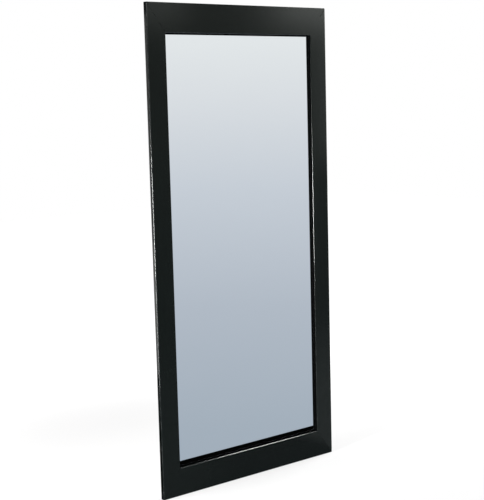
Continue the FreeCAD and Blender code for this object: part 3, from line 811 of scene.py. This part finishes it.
def head_profile(along):
    """Share of the head's radius, full at the seat and rounded off towards the top."""
    return (1 - (along * 0.92) ** 3) ** 0.5


def core_profile(along):
    """Share of the shank's radius, tapering from the head to the tip."""
    return 0.72 - along * 0.60


def cross_bar(bench, size, quarter):
    """One tapered bar of the cross, sunk into the head from its top."""
    bar = bench.node("GeometryNodeMeshCone", sockets={
        "Vertices": 4, "Radius Top": math.sqrt(0.5), "Radius Bottom": math.sqrt(0.5) * 0.5, "Depth": 1.0})
    bar = bench.node("GeometryNodeTransform", sockets={"Geometry": bar, "Rotation": (0, 0, math.pi / 4)})
    sunk = bench.node("ShaderNodeCombineXYZ", sockets={2: size["Head Height"] - size["Cross Depth"]})
    shape = bench.node("ShaderNodeCombineXYZ", sockets={
        0: size["Cross Span"], 1: size["Cross Width"], 2: size["Cross Depth"] * 1.04})
    return bench.node("GeometryNodeTransform", sockets={
        "Geometry": bar, "Translation": sunk, "Rotation": (0, 0, quarter), "Scale": shape})


def thread(bench, size):
    """A ridge wound round the core, from below the head nearly to the tip."""
    rise = size["Shank Length"] * 0.74
    spiral = bench.node("GeometryNodeCurveSpiral", sockets={
        "Resolution": 14, "Rotations": rise / size["Thread Pitch"], "Height": rise,
        "Start Radius": size["Shank Radius"] * 0.20, "End Radius": size["Shank Radius"] * 0.64})
    ridge = bench.node("GeometryNodeCurvePrimitiveCircle", sockets={
        "Resolution": 3, "Radius": size["Shank Radius"] * 0.25})
    wound = bench.node("GeometryNodeCurveToMesh", sockets={
        "Curve": spiral, "Profile Curve": ridge, "Fill Caps": True})
    low = bench.node("ShaderNodeCombineXYZ", sockets={2: size["Shank Length"] * -0.87})
    return bench.node("GeometryNodeTransform", sockets={"Geometry": wound, "Translation": low})


screws_on_seats = screw_tree()
print("screw tree with", len(screws_on_seats.nodes), "nodes and", len(SCREW_SIZES), "sizes")

# %% [markdown]
# The seats are the points under the middles of the heads: four on each corner plate, two on each hanger
# strap, and one on each turn button, at the pivot that its joint names. A modifier with the tree makes the
# screws, and the result is kept as a plain mesh, because an export would drop the instances.

# %% Seats of the screws
PLATE_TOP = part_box("corner_plate_top_left")[1].y
PLATE_INSET = HALF_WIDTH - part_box("corner_plate_top_right")[1].x
PLATE_WIDTH = 0.020
PLATE_LINE = PLATE_INSET + PLATE_WIDTH / 2
PLATE_HOLES = (PLATE_INSET + 0.032, PLATE_INSET + 0.074)
STRAP_THICKNESS = 0.0024
STRAP_TOP = BACK_LEVEL + STRAP_THICKNESS
STRAP_HOLES = (0.027, 0.043)
BUTTON_WITH_PLAY = 0.0016
BUTTON_TOP = BACK_LEVEL + BUTTON_WITH_PLAY

plate_seats = []
for side in (-1, 1):
    for end in (-1, 1):
        for reach in PLATE_HOLES:
            for inward_x, inward_z in ((reach, PLATE_LINE), (PLATE_LINE, reach)):
                plate_seats.append((side * (HALF_WIDTH - inward_x), PLATE_TOP,
                                    MIDDLE_HEIGHT + end * (HALF_HEIGHT - inward_z)))
pivots = {joint["child"]: Vector(joint["pos_m"]) for joint in frame["joints"]}
strap_seats = [(pivots[ring].x, STRAP_TOP, pivots[ring].z - drop)
               for ring in ("hanger_ring_left", "hanger_ring_right") for drop in STRAP_HOLES]
button_seats = [(spot.x, BUTTON_TOP, spot.z)
                for name, spot in pivots.items() if name.startswith("turn_button")]
print("seats on plates, straps and buttons:", len(plate_seats), len(strap_seats), len(button_seats))


# %% Screws
# Metres, in the order of SCREW_SIZES
WOOD_SCREW = (0.0040, 0.0024, 0.0020, 0.016, 0.0016, 0.0010, 0.0040, 0.0012)
PIVOT_SCREW = (0.0033, 0.0018, 0.0015, 0.012, 0.0013, 0.0009, 0.0034, 0.0010)


def screws(name, node, seats, sizes, seed):
    """A plain mesh of screws on their seats, standing for one solid of the frame."""
    points = bpy.data.meshes.new(name + "_seats")
    points.from_pydata(seats, [], [])
    holder = bpy.data.objects.new(name, points)
    bpy.context.scene.collection.objects.link(holder)
    modifier = holder.modifiers.new("screws", "NODES")
    modifier.node_group = screws_on_seats
    identifiers = {item.name: item.identifier for item in screws_on_seats.interface.items_tree}
    for label, value in zip(SCREW_SIZES, sizes):
        modifier[identifiers[label]] = value
    modifier[identifiers["Turn Seed"]] = seed
    modifier[identifiers["Steel"]] = screw_steel.material
    made = bpy.data.meshes.new_from_object(holder.evaluated_get(bpy.context.evaluated_depsgraph_get()))
    holder.modifiers.clear()
    holder.data = made
    shaped = bmesh.new()
    shaped.from_mesh(made)
    bmesh.ops.remove_doubles(shaped, verts=shaped.verts, dist=1e-6)
    bmesh.ops.recalc_face_normals(shaped, faces=shaped.faces)
    shaped.to_mesh(made)
    shaped.free()
    made.shade_smooth()
    made.set_sharp_from_angle(angle=math.radians(35))
    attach(holder, "frame")
    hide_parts(node)
    print(name, len(seats), "screws,", len(made.polygons), "faces")


screws("plate_screws_threaded", "corner_plate_screws", plate_seats, WOOD_SCREW, 3)
screws("strap_screws_threaded", "hanger_screws", strap_seats, WOOD_SCREW, 5)
screws("pivot_screws_threaded", "turn_button_screws", button_seats, PIVOT_SCREW, 8)

# %% [markdown]
